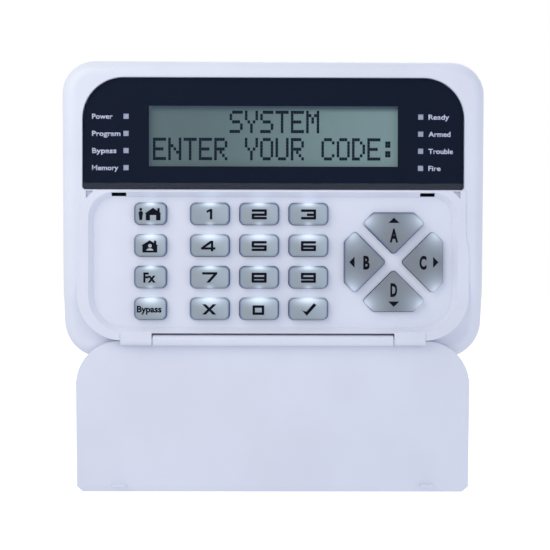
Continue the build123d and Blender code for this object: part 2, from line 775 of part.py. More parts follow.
def tamper_plunger():
    """Pin that the wall pushes in; its collar keeps it in the rear cover."""
    plunger = rod(*TAMPER_AT, 1.5, -1.0, 9.9)
    plunger = fillet(plunger.faces().sort_by(Axis.Y)[-1].edges(), 0.6)
    return plunger + rod(*TAMPER_AT, 2.9, REAR_FLOOR + 0.05, REAR_FLOOR + 0.85)


def tamper_spring():
    x, z = TAMPER_AT
    back, front = REAR_FLOOR + 1.2, 8.3
    coil = Helix(pitch=(front - back) / 4.5, height=front - back, radius=2.2)
    profile = Plane(origin=coil @ 0, z_dir=coil % 0) * Circle(0.25)
    wire = sweep(profile, coil)
    return Pos(x, -back, z) * Rot(90, 0, 0) * wire


# Keys and mat ---------------------------------------------------------------------------


def key_cap(outline, cavity, flange, stem):
    """Hollow cap with a flange behind the key floor and a stem that presses on its dome."""
    cap = slab(outline, FLANGE_FRONT - 0.1, KEY_TOP)
    cap = fillet(front_edges(cap), KEY_EDGE)
    cap += slab(flange, FLANGE_BACK, FLANGE_FRONT)
    cap -= slab(cavity, FLANGE_BACK - 1, KEY_TOP - KEY_SKIN)
    return cap + rod(*stem, STEM_RADIUS, STEM_BACK, KEY_TOP - KEY_SKIN + 0.1)


def rectangular_key(x, z, width):
    return key_cap(
        key_outline(x, z, width),
        key_outline(x, z, width, -KEY_SKIN),
        key_outline(x, z, width, FLANGE_REACH),
        (x, z),
    )


def direction_key(angle):
    return key_cap(
        wedge_outline(angle),
        wedge_outline(angle, -KEY_SKIN),
        wedge_outline(angle, FLANGE_REACH),
        wedge_stem(angle),
    )


def dome(x, z, base, top, back, front):
    """Cone standing on the board's side of the mat."""
    low = Plane.XZ.offset(back) * Pos(x, z) * Circle(base)
    high = Plane.XZ.offset(front) * Pos(x, z) * Circle(top)
    return loft([low, high])


def rubber_key_mat():
    sheet = Pos(sum(MAT_SPAN) / 2, sum(MAT_HEIGHTS) / 2) * RectangleRounded(
        MAT_SPAN[1] - MAT_SPAN[0], MAT_HEIGHTS[1] - MAT_HEIGHTS[0], 4
    )
    for x, z in backlight_places():
        sheet -= Pos(x, z) * Rectangle(2.4, 1.6)
    mat = slab(sheet, BOARD_FRONT, MAT_FRONT)
    for x, z in dome_places():
        mat += dome(x, z, DOME_BASE_RADIUS, DOME_TOP_RADIUS, MAT_FRONT - 0.2, STEM_BACK)
    for x, z in dome_places():
        inner = DOME_BASE_RADIUS - DOME_WALL, DOME_TOP_RADIUS - DOME_WALL
        mat -= dome(x, z, *inner, BOARD_FRONT - 0.1, STEM_BACK - DOME_ROOF)
    return mat


def key_contact_pills():
    pills = Part()
    front = STEM_BACK - DOME_ROOF
    for x, z in dome_places():
        pills += rod(x, z, PILL_RADIUS, front - PILL_THICK, front)
    return pills


# Door -----------------------------------------------------------------------------------


def door_plate():
    shape = mirrored([(DOOR_FREE_HALF_WIDTH, DOOR_LOW), (DOOR_HALF_WIDTH, DOOR_HIGH)])
    shape = fillet(shape.vertices().group_by(Axis.Y)[-1], DOOR_CORNER)
    shape = chamfer(shape.vertices().group_by(Axis.Y)[0], DOOR_CUT_CORNER)
    plate = slab(shape, DOOR_BACK, DOOR_FRONT)
    plate = fillet(plate.faces().sort_by(Axis.Y)[-1].edges(), 0.8)
    lip = [
        (DOOR_FRONT, DOOR_LOW + LIP_HEIGHT),
        (DOOR_FRONT - LIP_DEPTH, DOOR_LOW - 0.01),
        (AIR, DOOR_LOW - 0.01),
        (AIR, DOOR_LOW + LIP_HEIGHT),
    ]
    plate -= prism(lip, HALF_WIDTH)
    for x, z in EJECTOR_MARKS:
        plate -= rod(x, z, EJECTOR_RADIUS, DOOR_FRONT - 0.12, AIR)
    return plate


def door_clip(side):
    """Snap clip near the free edge; it faces up when the door is closed."""
    middle = 2 * HINGE_HEIGHT - (SLOT_LOW + SLOT_HIGH) / 2
    profile = [
        (-(DOOR_BACK + 0.6), middle - 0.6),
        (-CLIP_TIP, middle - 0.3),
        (-CLIP_TIP, middle + 0.3),
        (-(CLIP_TIP - 0.6), middle + 0.55),
        (-(CLIP_TIP - 1.2), middle + 0.4),
        (-(DOOR_BACK + 0.6), middle + 0.6),
    ]
    face = Plane.YZ.offset(side * CLIP_X - CLIP_WIDTH / 2) * Polygon(*profile, align=None)
    return extrude(face, CLIP_WIDTH, dir=(1, 0, 0))


def door():
    """Plate, hinge barrel, the web between them, two trunnions and two clips."""
    span = (-BARREL_HALF, BARREL_HALF)
    web_heights = (HINGE_HEIGHT - BARREL_RADIUS, DOOR_HIGH)
    flap = door_plate() + block(span, (DOOR_BACK + 0.8, HINGE_DEPTH), web_heights)
    flap += cross_rod(*span, HINGE_DEPTH, HINGE_HEIGHT, BARREL_RADIUS)
    for side in (-1, 1):
        ends = sorted((side * (BARREL_HALF - OVERLAP), side * (BARREL_HALF + TRUNNION_LENGTH)))
        flap += cross_rod(*ends, HINGE_DEPTH, HINGE_HEIGHT, TRUNNION_RADIUS)
        flap += door_clip(side)
    return flap


# Screws ---------------------------------------------------------------------------------


def pan_screw(x, z, head_back, head_radius, head_height, shank_radius, tip):
    """Cross-headed screw driven from behind; its head sits behind a board."""
    head = rod(x, z, head_radius, head_back, head_back + head_height)
    head = fillet(head.faces().sort_by(Axis.Y)[-1].edges(), head_height * 0.4)
    cross = Rectangle(head_radius * 1.2, 0.4) + Rectangle(0.4, head_radius * 1.2)
    head -= slab(Pos(x, z) * cross, head_back - 1, head_back + head_height * 0.5)
    return head + rod(x, z, shank_radius, head_back + head_height - 0.1, tip)


def board_screws():
    screws = Part()
    for x, z in BOARD_POSTS:
        screws += pan_screw(x, z, BOARD_BACK - 1.6, 2.4, 1.6, 0.95, 19.5)
    return screws


def display_screws():
    screws = Part()
    for x, z in display_posts():
        screws += pan_screw(x, z, DISPLAY_BOARD_BACK - 1.0, 1.5, 1.0, 0.75, 21.0)
    return screws


def case_screws():
    """Countersunk screws from below, through the front cover into the rear cover's lugs."""
    screws = Part()
    for side in (-1, 1):
        head = upright_rod(side, 0, 1.15, 2.6, 1.5)
        for across, along in ((1.3, 0.25), (0.25, 1.3)):
            head -= Pos(side * CASE_SCREW_X, -CASE_SCREW_DEPTH, -HALF_HEIGHT) * Box(
                2 * across, 2 * along, 1.4
            )
        screws += head + upright_rod(side, 1.1, 8.0, 1.25, 1.25)
    return screws


NODES = {
    "rear_cover": rear_cover,
    "front_cover": front_cover,
    "door": door,
    "display_window": display_window,
    "window_mask": window_mask,
    "display_glass": display_glass,
    "display_bezel": display_bezel,
    "display_backlight": display_backlight,
    "display_connector_strips": display_connector_strips,
    "display_gasket": display_gasket,
    "display_circuit_board": display_circuit_board,
    "display_pin_header": display_pin_header,
    "light_guide_left": lambda: light_guide(-1),
    "light_guide_right": lambda: light_guide(1),
    "status_lamps": status_lamps,
    "main_circuit_board": main_circuit_board,
    "microcontroller": microcontroller,
    "terminal_block": terminal_block,
    "terminal_screws": terminal_screws,
    "buzzer": buzzer,
    "capacitor": capacitor,
    "tamper_switch": tamper_switch,
    "tamper_plunger": tamper_plunger,
    "tamper_spring": tamper_spring,
    "rubber_key_mat": rubber_key_mat,
    "key_contact_pills": key_contact_pills,
    "key_backlights": key_backlights,
    "board_screws": board_screws,
    "display_screws": display_screws,
    "case_screws": case_screws,
}

os.makedirs("parts", exist_ok=True)
for node, make in NODES.items():
    export_step(make(), f"parts/{node}.step")
for node, x, z, width in key_places():
    export_step(rectangular_key(x, z, width), f"parts/{node}.step")
for node, angle in DIRECTIONS.items():
    export_step(direction_key(angle), f"parts/{node}.step")
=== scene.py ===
"""Looks of the alarm keypad panel: materials, printed legends, display dots, light and camera.

Lengths written in mm are turned into metres by MM. X is to the right, Z is up, and the panel
faces -Y, so a point at depth d in front of the wall has Y = -d.
"""

import json
import math

import bmesh
import bpy
from mathutils import Euler, Matrix, Vector


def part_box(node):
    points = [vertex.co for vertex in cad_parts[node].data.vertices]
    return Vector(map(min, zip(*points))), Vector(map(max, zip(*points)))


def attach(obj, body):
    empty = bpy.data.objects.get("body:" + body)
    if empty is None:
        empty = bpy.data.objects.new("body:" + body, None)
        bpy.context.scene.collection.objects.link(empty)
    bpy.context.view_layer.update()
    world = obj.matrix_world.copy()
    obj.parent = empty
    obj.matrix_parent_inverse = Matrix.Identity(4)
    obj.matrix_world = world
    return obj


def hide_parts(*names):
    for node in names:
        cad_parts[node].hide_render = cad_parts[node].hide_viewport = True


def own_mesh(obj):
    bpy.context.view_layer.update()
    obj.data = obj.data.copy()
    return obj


MM = 0.001

# Camera, fitted to the object's corners
CAMERA_AT = (-8.6, -800.0, -9.7)
CAMERA_YAW = -0.69  # degrees to the left
CAMERA_PITCH = 1.19  # degrees down
CAMERA_ROLL = 0.12
CAMERA_ANGLE = 16.10

# Stage
FLOOR_HEIGHT = -135.0
FLOOR_HALF = 3000.0

# Area lights: place, aim, side, power, tint
LIGHTS = {
    "key_light": ((-260, -330, 260), (0, 0, 0), 400, 0.95, (1.0, 0.97, 0.84)),
    "fill_light": ((700, -900, 150), (0, 0, -20), 700, 1.5, (0.95, 0.97, 1.0)),
    "back_light": ((300, 900, 500), (0, 0, 0), 700, 2.0, (0.95, 0.97, 1.0)),
}

# Prints
PRINT_SINK = 0.02  # how far a print reaches into the face that carries it
PRINT_RISE = 0.03  # how far it stands out of that face
MERGE = 0.002  # corners of a print nearer than this are one
FONT_CAP_HEIGHT = 0.69  # of the built-in font at size 1

# Labels beside the status lamps: each word's width, and the left edge of each column
LABEL_CAP_HEIGHT = 2.0
LABEL_BOLD = 0.025
LABEL_HEIGHTS = (37.2, 30.4, 23.6, 16.8)
LEFT_LABELS = {"Power": 8.2, "Program": 11.3, "Bypass": 9.7, "Memory": 10.5}
RIGHT_LABELS = {"Ready": 8.3, "Armed": 8.8, "Trouble": 9.8, "Fire": 4.9}
LABEL_COLUMNS = ((-72.1, LEFT_LABELS), (61.7, RIGHT_LABELS))

# Display: two lines of sixteen characters, each five dots wide and seven tall
VIEW_HALF = (49.5, 12.0)  # half the width and half the height that show
DISPLAY_SHIFT = 0.4  # of the characters, to the right
DISPLAY_LINES = ("     SYSTEM     ", "ENTER YOUR CODE:")
CHARACTER_PITCH = 6.11
LINE_PITCH = 10.85
DOT_PITCH = (1.05, 1.28)
DOT_SIZE = (1.02, 1.24)
TOP_MARGIN = 1.7  # above the first line
DOT_THICK = 0.04

# Characters of the display, row by row from the top
FONT = {
    " ": "..... ..... ..... ..... ..... ..... .....",
    ":": "..... .##.. .##.. ..... .##.. .##.. .....",
    "C": ".###. #...# #.... #.... #.... #...# .###.",
    "D": "###.. #..#. #...# #...# #...# #..#. ###..",
    "E": "##### #.... #.... ####. #.... #.... #####",
    "M": "#...# ##.## #.#.# #.#.# #...# #...# #...#",
    "N": "#...# #...# ##..# #.#.# #..## #...# #...#",
    "O": ".###. #...# #...# #...# #...# #...# .###.",
    "R": "####. #...# #...# ####. #.#.. #..#. #...#",
    "S": ".#### #.... #.... .###. ....# ....# ####.",
    "T": "##### ..#.. ..#.. ..#.. ..#.. ..#.. ..#..",
    "U": "#...# #...# #...# #...# #...# #...# .###.",
    "Y": "#...# #...# #...# .#.#. ..#.. ..#.. ..#..",
}

# Squared digits, drawn as filled cells: rows are stroke, gap, stroke, gap, stroke
DIGIT_STROKE = 1.0
DIGIT_ROUNDING = 0.3
DIGIT_COLUMNS = (-3.0, -3.0 + DIGIT_STROKE, -0.7, 3.0 - DIGIT_STROKE, 3.0)
DIGIT_ROWS = (1.85, 1.85 - DIGIT_STROKE, 0.2, 0.2 - DIGIT_STROKE, -2.15 + DIGIT_STROKE, -2.15)
DIGIT_CELLS = {
    "key_2": "#### ...# #### #... ####",
    "key_3": "#### ...# ..## ...# ####",
    "key_5": "#### #... #### ...# ####",
    "key_6": "#### #... #### #..# ####",
    "key_8": "#### #..# #### #..# ####",
    "key_9": "#### #..# #### ...# ####",
}

# The zero is a ring: a stroke, a gap and a stroke both ways
RING_COLUMNS = (-2.6, -2.6 + DIGIT_STROKE, 2.05 - DIGIT_STROKE, 2.05)
RING_ROWS = (1.45, 1.45 - DIGIT_STROKE, -2.35 + DIGIT_STROKE, -2.35)
RING_ROUNDING = 0.1

# Words on keys: text, cap height, width, boldness, place from the key's middle
KEY_WORDS = {
    "key_function": ("Fx", 3.9, 4.9, 0.035, (-0.35, -2.0)),
    "key_bypass": ("Bypass", 2.6, 9.8, 0.034, (-0.5, -1.35)),
}

# Keys: a cap is smaller than its CAD node by the flange hidden behind the key floor
KEY_FLANGE = 0.9
KEY_CORNER = 2.1
GRID_KEYS = (
    ("key_leave_home", "key_1", "key_2", "key_3"),
    ("key_stay_home", "key_4", "key_5", "key_6"),
    ("key_function", "key_7", "key_8", "key_9"),
    ("key_bypass", "key_cross", "key_0", "key_tick"),
)

# Direction keys: which way each points, measured from the middle of the four
DIRECTION_KEYS = {"key_a": (0, 1), "key_b": (-1, 0), "key_c": (1, 0), "key_d": (0, -1)}
CLUSTER_HALF = 19.6
CLUSTER_FLAT = 8.1
CROSS_HALF_GAP = 2.2
LETTER_HEIGHT = 5.2
LETTER_BOLD = 0.045
LETTER_OUT = {"key_a": 10.8, "key_b": 10.9, "key_c": 11.6, "key_d": 10.9}
LETTER_WIDTHS = {"key_a": 3.3, "key_b": 2.5, "key_c": 2.8, "key_d": 2.7}
ARROW_OUT = 16.7
ARROW_SIZE = (4.4, 2.1)

# Spring of the tamper pin
SPRING_WIRE_RADIUS = 0.25
SPRING_TURNS = 4.5
SPRING_STEPS = 32  # rings of points a turn
SPRING_SIDES = 12

# How far the film's faces stand back from the faces they would otherwise share
FILM_GAP = 0.02


# Node trees -----------------------------------------------------------------------------


class Graph:
    """Short way to write the node tree of a material or the world."""

    def __init__(self, tree):
        self.tree = tree
        tree.nodes.clear()

    def node(self, kind, settings=None, **inputs):
        """New node; settings are its properties, inputs its sockets by name (_ for a space)."""
        made = self.tree.nodes.new("ShaderNode" + kind)
        for name, value in (settings or {}).items():
            setattr(made, name, value)
        for name, value in inputs.items():
            self.put(made.inputs[name.replace("_", " ")], value)
        return made

    def put(self, socket, value):
        if isinstance(value, bpy.types.NodeSocket):
            self.tree.links.new(value, socket)
        else:
            socket.default_value = value

    def calc(self, operation, *values):
        made = self.node("Math", {"operation": operation})
        for socket, value in zip(made.inputs, values):
            self.put(socket, value)
        return made.outputs[0]

    def add(self, *values):
        total = values[0]
        for value in values[1:]:
            total = self.calc("ADD", total, value)
        return total

    def times(self, first, second):
        return self.calc("MULTIPLY", first, second)

    def rest(self, value):
        """What is left of 1."""
        return self.calc("SUBTRACT", 1.0, value)

    def step(self, value, low, high):
        """Smooth step from 0 at low to 1 at high."""
        made = self.node("MapRange", {"interpolation_type": "SMOOTHSTEP"})
        for name, number in (("Value", value), ("From Min", low), ("From Max", high)):
            self.put(made.inputs[name], number)
        return made.outputs["Result"]

    def mix(self, factor, first, second):
        """Mixed colour; the node's sockets for colours are 6 and 7 in and 2 out."""
        made = self.node("Mix", {"data_type": "RGBA"})
        self.put(made.inputs["Factor"], factor)
        self.put(made.inputs[6], colour(first))
        self.put(made.inputs[7], colour(second))
        return made.outputs[2]

    def place(self):
        """X, Y and Z in mm in the frame the object was loaded in, so they move with it."""
        here = self.node("TexCoord").outputs["Object"]
        parts = self.node("SeparateXYZ", Vector=here)
        return [self.calc("DIVIDE", axis, MM) for axis in parts.outputs]

    def noise(self, size, detail=3.0, roughness=0.5):
        """Noise whose features are about size mm across."""
        here = self.node("TexCoord").outputs["Object"]
        made = self.node(
            "TexNoise", Vector=here, Scale=1 / (size * MM), Detail=detail, Roughness=roughness
        )
        return made.outputs[0]

    def bump(self, height, depth):
        """Normal for a height from 0 to 1 that stands for depth mm."""
        made = self.node("Bump", Height=height, Distance=depth * MM, Strength=1.0)
        return made.outputs[0]

    def output(self, shader, kind="OutputMaterial"):
        self.tree.links.new(shader.outputs[0], self.node(kind).inputs["Surface"])


def colour(value):
    """A socket as it is, or three numbers with alpha added."""
    return value if isinstance(value, bpy.types.NodeSocket) else (*value, 1.0)


def new_graph(name):
    material = bpy.data.materials.new(name)
    material.use_nodes = True
    return material, Graph(material.node_tree)


def principled(graph, **inputs):
    return graph.node("BsdfPrincipled", **inputs)


def moulded_plastic(name, base, roughness):
    """Moulded plastic: cloudy tint, fine grain, painted shade in creases and rubbed edges."""
    material, g = new_graph(name)
    cloud = g.step(g.noise(35.0), 0.3, 0.7)
    dark, light = [tuple(c * k for c in base) for k in (0.975, 1.02)]
    tint = g.mix(cloud, dark, light)
    # Painted shade: the tint darkens where nearby surfaces occlude it, in creases and beside
    # raised parts.
    crease = g.node("AmbientOcclusion", {"samples": 6}, Distance=1.2 * MM).outputs["AO"]
    crease_shade = tuple(c * k for c, k in zip(base, (0.92, 0.93, 0.955)))
    tint = g.mix(g.step(crease, 0.25, 0.95), crease_shade, tint)
    edge = g.node("AmbientOcclusion", {"samples": 4, "inside": True}, Distance=0.5 * MM)
    rubbed = g.times(g.step(edge.outputs["AO"], 0.7, 0.3), 0.5)
    rubbed = g.times(rubbed, g.step(g.noise(6.0), 0.35, 0.6))
    tint = g.mix(rubbed, tint, tuple(min(1.0, c * 1.06) for c in base))
    fine = g.noise(0.35, detail=4.0)
    rough = g.add(roughness, g.times(g.add(fine, -0.5), 0.10))
    rough = g.add(rough, g.times(rubbed, -0.06))
    shader = principled(g, Base_Color=tint, Roughness=rough, Normal=g.bump(fine, 0.012))
    g.output(shader)
    return material


def metal(name, base, roughness, grain_size, depth):
    """Metal with a fine directionless grain and slightly dulled patches."""
    material, g = new_graph(name)
    patches = g.step(g.noise(4.0), 0.35, 0.7)
    tint = g.mix(patches, base, tuple(c * 0.82 for c in base))
    grain = g.noise(grain_size, detail=5.0)
    rough = g.add(roughness, g.times(patches, 0.12))
    shader = principled(
        g, Base_Color=tint, Metallic=1.0, Roughness=rough, Normal=g.bump(grain, depth)
    )
    g.output(shader)
    return material


def rubber(name, base):
    """Soft matte rubber with a powdery bloom."""
    material, g = new_graph(name)
    bloom = g.step(g.noise(3.0, detail=5.0), 0.4, 0.75)
    tint = g.mix(bloom, base, tuple(min(1.0, c * 1.15 + 0.01) for c in base))
    fine = g.noise(0.2)
    rough = g.add(0.72, g.times(bloom, 0.12))
    shader = principled(g, Base_Color=tint, Roughness=rough, Normal=g.bump(fine, 0.02))
    g.output(shader)
    return material


def circuit_board(name):
    """Green solder mask over copper tracks, with a weave in the laminate."""
    material, g = new_graph(name)
    x, _, z = g.place()
    tracks = g.calc("PINGPONG", g.add(x, g.times(g.noise(18.0), 30.0)), 1.0)
    ground = g.step(g.noise(11.0, detail=1.0), 0.48, 0.50)
    copper = g.times(g.step(tracks, 0.62, 0.66), ground)
    tint = g.mix(copper, (0.008, 0.10, 0.045), (0.03, 0.22, 0.09))
    weave = g.times(g.calc("SINE", g.times(x, 12.0)), 0.25)
    weave = g.add(weave, g.times(g.calc("SINE", g.times(z, 12.0)), 0.25))
    height = g.add(weave, copper)
    shader = principled(
        g,
        Base_Color=tint,
        Roughness=0.32,
        Normal=g.bump(height, 0.02),
        Coat_Weight=0.4,
        Coat_Roughness=0.2,
    )
    g.output(shader)
    return material


def clear_window(name):
    """Clear moulded window: it passes light and mirrors only what its gloss does."""
    material, g = new_graph(name)
    waves = g.noise(45.0, detail=1.0)
    scuffs = g.noise(0.5, detail=5.0)
    normal = g.bump(waves, 0.006)
    tint = g.node("BsdfTransparent", Color=(0.97, 0.98, 1.0, 1.0))
    rough = g.add(0.02, g.times(scuffs, 0.06))
    gloss = g.node("BsdfGlossy", Color=(1.0, 1.0, 1.0, 1.0), Roughness=rough, Normal=normal)
    outside = g.rest(g.node("NewGeometry").outputs["Backfacing"])
    amount = g.node("Fresnel", IOR=1.49, Normal=normal).outputs[0]
    shader = g.node("MixShader", Fac=g.times(amount, outside))
    g.tree.links.new(tint.outputs[0], shader.inputs[1])
    g.tree.links.new(gloss.outputs[0], shader.inputs[2])
    g.output(shader)
    return material


def printed_film(name):
    """Navy printed film behind the window, with the unevenness of screen printing."""
    material, g = new_graph(name)
    patches = g.noise(22.0, detail=4.0)
    tint = g.mix(patches, (0.0055, 0.0105, 0.0250), (0.0075, 0.0130, 0.0290))
    dots = g.noise(0.25, detail=2.0)
    shader = principled(
        g,
        Base_Color=tint,
        Roughness=g.add(0.42, g.times(dots, 0.15)),
        Normal=g.bump(dots, 0.004),
        Specular_IOR_Level=0.08,
    )
    g.output(shader)
    return material


def ink(name, base):
    """Printed ink, slightly uneven."""
    material, g = new_graph(name)
    uneven = g.noise(0.8, detail=4.0)
    tint = g.mix(g.step(uneven, 0.35, 0.7), base, tuple(c * 0.85 for c in base))
    shader = principled(
        g,
        Base_Color=tint,
        Roughness=g.add(0.5, g.times(uneven, 0.2)),
        Normal=g.bump(uneven, 0.006),
        Specular_IOR_Level=0.12,
    )
    g.output(shader)
    return material


def display_face(name, low, high):
    """Grey-green display between two corners: tint, painted shade and glow, and unlit dots."""
    material, g = new_graph(name)
    x, _, z = g.place()
    left, right, top = low.x / MM, high.x / MM, high.z / MM
    # Painted shade: darker towards the left.
    tint = g.mix(g.step(x, left + 12, right), (0.092, 0.134, 0.128), (0.170, 0.246, 0.232))
    # Painted shadow of the window's upper edge along the top.
    tint = g.mix(g.step(z, top - 2.6, top - 0.3), tint, (0.062, 0.098, 0.115))
    # Painted shadow along the left edge.
    tint = g.mix(g.step(x, left + 1.6, left + 0.3), tint, (0.080, 0.120, 0.135))
    column = g.calc("PINGPONG", g.add(x, -DOT_PITCH[0] / 2), DOT_PITCH[0] / 2)
    row = g.calc("PINGPONG", g.add(z, -DOT_PITCH[1] / 2), DOT_PITCH[1] / 2)
    inside = g.times(g.step(column, 0.04, 0.10), g.step(row, 0.04, 0.10))
    tint = g.mix(g.times(inside, 0.05), tint, (0.02, 0.04, 0.05))
    cloud = g.noise(14.0)
    shader = principled(
        g,
        Base_Color=tint,
        Roughness=g.add(0.32, g.times(cloud, 0.1)),
        # Painted glow: the unlit display gives out its own tint, painted shade included.
        Emission_Color=tint,
        Emission_Strength=0.45,
        Normal=g.bump(cloud, 0.01),
    )
    g.output(shader)
    return material


def light_guide(name):
    """Frosted clear plastic with a faint painted glow for the light it gathers."""
    material, g = new_graph(name)
    frost = g.noise(0.6, detail=4.0)
    tint = g.mix(frost, (0.33, 0.35, 0.44), (0.41, 0.43, 0.53))
    shader = principled(
        g,
        Base_Color=tint,
        Roughness=g.add(0.35, g.times(frost, 0.2)),
        Normal=g.bump(frost, 0.02),
        # Painted glow: the guide gives out its own tint.
        Emission_Color=tint,
        Emission_Strength=0.18,
    )
    g.output(shader)
    return material


# Keys -----------------------------------------------------------------------------------


def gather(g, across, up, centre, spread):
    """1 at a spot, fading to 0 around it; all in mm on the key's face."""
    squares = []
    for value, middle, width in zip((across, up), centre, spread):
        offset = g.calc("DIVIDE", g.add(value, -middle), width)
        squares.append(g.times(offset, offset))
    return g.calc("EXPONENT", g.times(g.add(*squares), -1.0))


def key_material(material, g, face, rim, glow, behind):
    """Translucent cap: grey face, blue-edged rim, and a painted glow for the lamps behind it.

    Behind is the distance from the plane of the face: the blue pales down the walls.
    """
    # The rim is the cap's blue edge and in part a painted dark reflection; it pales down the
    # walls and under the glow.
    rim = g.times(rim, g.rest(g.times(g.step(behind, 0.6, 1.3), 0.75)))
    rim = g.times(rim, g.rest(g.times(glow, 0.7)))
    cloud = g.times(g.step(g.noise(9.0), 0.35, 0.7), 0.2)
    face = g.mix(cloud, face, g.mix(0.5, face, (0.46, 0.52, 0.53)))
    face = g.mix(rim, face, (0.13, 0.19, 0.38))
    fine = g.noise(0.3, detail=4.0)
    # Painted glow: the face lightens and emits where the lamps behind it would shine through.
    lit = g.times(glow, g.rest(g.times(rim, 0.3)))
    face = g.mix(g.times(lit, 0.85), face, (0.86, 0.93, 1.0))
    shader = principled(
        g,
        Base_Color=face,
        Roughness=g.add(0.30, g.times(fine, 0.12)),
        Normal=g.bump(fine, 0.008),
        Emission_Color=(0.72, 0.86, 1.0, 1.0),
        Emission_Strength=g.times(lit, 0.38),
    )
    g.output(shader)
    return material


def rounded_distance(g, across, up, half):
    """How far outside the rounded outline of a rectangular cap a point is, in mm."""
    past = [
        g.add(g.calc("ABSOLUTE", across), KEY_CORNER - half.x),
        g.add(g.calc("ABSOLUTE", up), KEY_CORNER - half.z),
    ]
    outside = [g.calc("MAXIMUM", value, 0.0) for value in past]
    length = g.calc("SQRT", g.add(*[g.times(v, v) for v in outside]))
    inside = g.calc("MINIMUM", g.calc("MAXIMUM", *past), 0.0)
    return g.add(length, inside, -KEY_CORNER)


def lamp_glow(g, across, up, half, row):
    """Painted glow at the edges next to the lamps, which stand nearest to the odd rows' upper
    edge.
    """
    if row % 2:
        return gather(g, across, up, (0, half.z + 0.2), (half.x * 0.62, 2.3))
    above = gather(g, across, up, (0, half.z), (half.x * 0.42, 1.2))
    below = gather(g, across, up, (0, -half.z), (1.5, 1.0))
    return g.calc("MAXIMUM", above, g.times(below, 0.45))


def grid_key_material(key, row):
    """Material of a rectangular key, measured from its own centre."""
    low, high = [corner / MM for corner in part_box(key)]
    material, g = new_graph(key)
    x, y, z = g.place()
    middle = (low + high) / 2
    half = (high - low) / 2 - Vector((KEY_FLANGE, 0, KEY_FLANGE))
    across, up = g.add(x, -middle.x), g.add(z, -middle.z)
    distance = rounded_distance(g, across, up, half)
    glow = lamp_glow(g, across, up, half, row)
    shade = g.step(g.add(across, g.times(up, 1.5)), -half.x, half.x)
    face = g.mix(shade, (0.345, 0.395, 0.430), (0.42, 0.495, 0.550))
    # The rim is painted along the top and sides only, where it stands partly for a dark
    # reflection.
    rim = g.times(g.step(distance, -0.8, -0.2), g.step(up, -half.z, 1.0 - half.z))
    return key_material(material, g, face, g.times(rim, 0.9), glow, g.add(y, -low.y))


def cluster_middle():
    """X and Z of the middle of the four direction keys."""
    low, high = [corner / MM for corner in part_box("key_a")]
    return (low.x + high.x) / 2, high.z - KEY_FLANGE - CLUSTER_HALF


def wedge_distance(g, out, side):
    """How far outside the outline of a direction key a point is, in mm."""
    root = math.sqrt(2)
    inset = CROSS_HALF_GAP * root
    walls = [
        g.add(out, -CLUSTER_HALF),
        g.calc("DIVIDE", g.add(side, g.times(out, -1.0), inset), root),
        g.calc("DIVIDE", g.add(side, out, -CLUSTER_FLAT - CLUSTER_HALF), root),
    ]
    distance = g.calc("SMOOTH_MAX", walls[0], walls[1], 1.0)
    return g.calc("SMOOTH_MAX", distance, walls[2], 1.0)


def direction_key_material(key, outward):
    """Material of a direction key, measured the way it points; painted glow at its outer
    corners.
    """
    middle_x, middle_z = cluster_middle()
    material, g = new_graph(key)
    x, y, z = g.place()
    from_x, from_z = g.add(x, -middle_x), g.add(z, -middle_z)
    out_x, out_z = outward
    out = g.add(g.times(from_x, out_x), g.times(from_z, out_z))
    side = g.add(g.times(from_x, out_z), g.times(from_z, -out_x))
    side = g.calc("ABSOLUTE", side)
    distance = wedge_distance(g, out, side)
    corner = (CLUSTER_FLAT + 3.4, CLUSTER_HALF - 2.2)
    # Painted backlight: the face is lighter and bluer near the outer corners, where the lamps
    # stand.
    painted_backlight = gather(g, side, out, corner, (6.5, 6.0))
    face = g.mix(painted_backlight, (0.235, 0.262, 0.29), (0.47, 0.54, 0.62))
    glow = g.times(gather(g, side, out, corner, (2.6, 2.8)), 0.5)
    # The rim is painted on the upper-left edges only, where it stands partly for a dark
    # reflection.
    upper_left = g.step(g.add(from_z, g.times(from_x, -1.0)), -14.0, 10.0)
    rim = g.times(g.step(distance, -0.75, -0.2), upper_left)
    behind = g.add(y, -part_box(key)[0].y / MM)
    return key_material(material, g, face, g.times(rim, 0.7), glow, behind)


# Flat shapes ----------------------------------------------------------------------------


def flat_piece(name, polygons, at, depth, material, body, round_by=0.0):
    """Thin solid printed on a face at a depth, from polygons of (x, z) in mm about a point."""
    mesh = bmesh.new()
    for polygon in polygons:
        corners = [
            mesh.verts.new(((at[0] + x) * MM, -(depth - PRINT_SINK) * MM, (at[1] + z) * MM))
            for x, z in polygon
        ]
        mesh.faces.new(corners)
    bmesh.ops.remove_doubles(mesh, verts=mesh.verts, dist=MERGE * MM)
    bmesh.ops.recalc_face_normals(mesh, faces=mesh.faces)
    if round_by:
        outer = [v for v in mesh.verts if v.is_boundary and len(v.link_faces) == 1]
        bmesh.ops.bevel(
            mesh, geom=outer, offset=round_by * MM, segments=3, profile=0.5, affect="VERTICES"
        )
    return finish_flat(name, mesh, PRINT_SINK + PRINT_RISE, material, body)


def finish_flat(name, mesh, thickness, material, body):
    """Thickens a flat mesh towards the viewer and hands it to its body."""
    lifted = bmesh.ops.extrude_face_region(mesh, geom=mesh.faces[:])
    raised = [v for v in lifted["geom"] if isinstance(v, bmesh.types.BMVert)]
    bmesh.ops.translate(mesh, verts=raised, vec=(0, -thickness * MM, 0))
    bmesh.ops.recalc_face_normals(mesh, faces=mesh.faces)
    return hand_over(object_from(mesh, name), material, body)


def object_from(mesh, name):
    """New object in the scene from a finished bmesh."""
    data = bpy.data.meshes.new(name)
    mesh.to_mesh(data)
    mesh.free()
    made = bpy.data.objects.new(name, data)
    bpy.context.scene.collection.objects.link(made)
    return made


def hand_over(piece, material, body):
    piece.data.materials.append(material)
    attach(piece, body)
    return piece


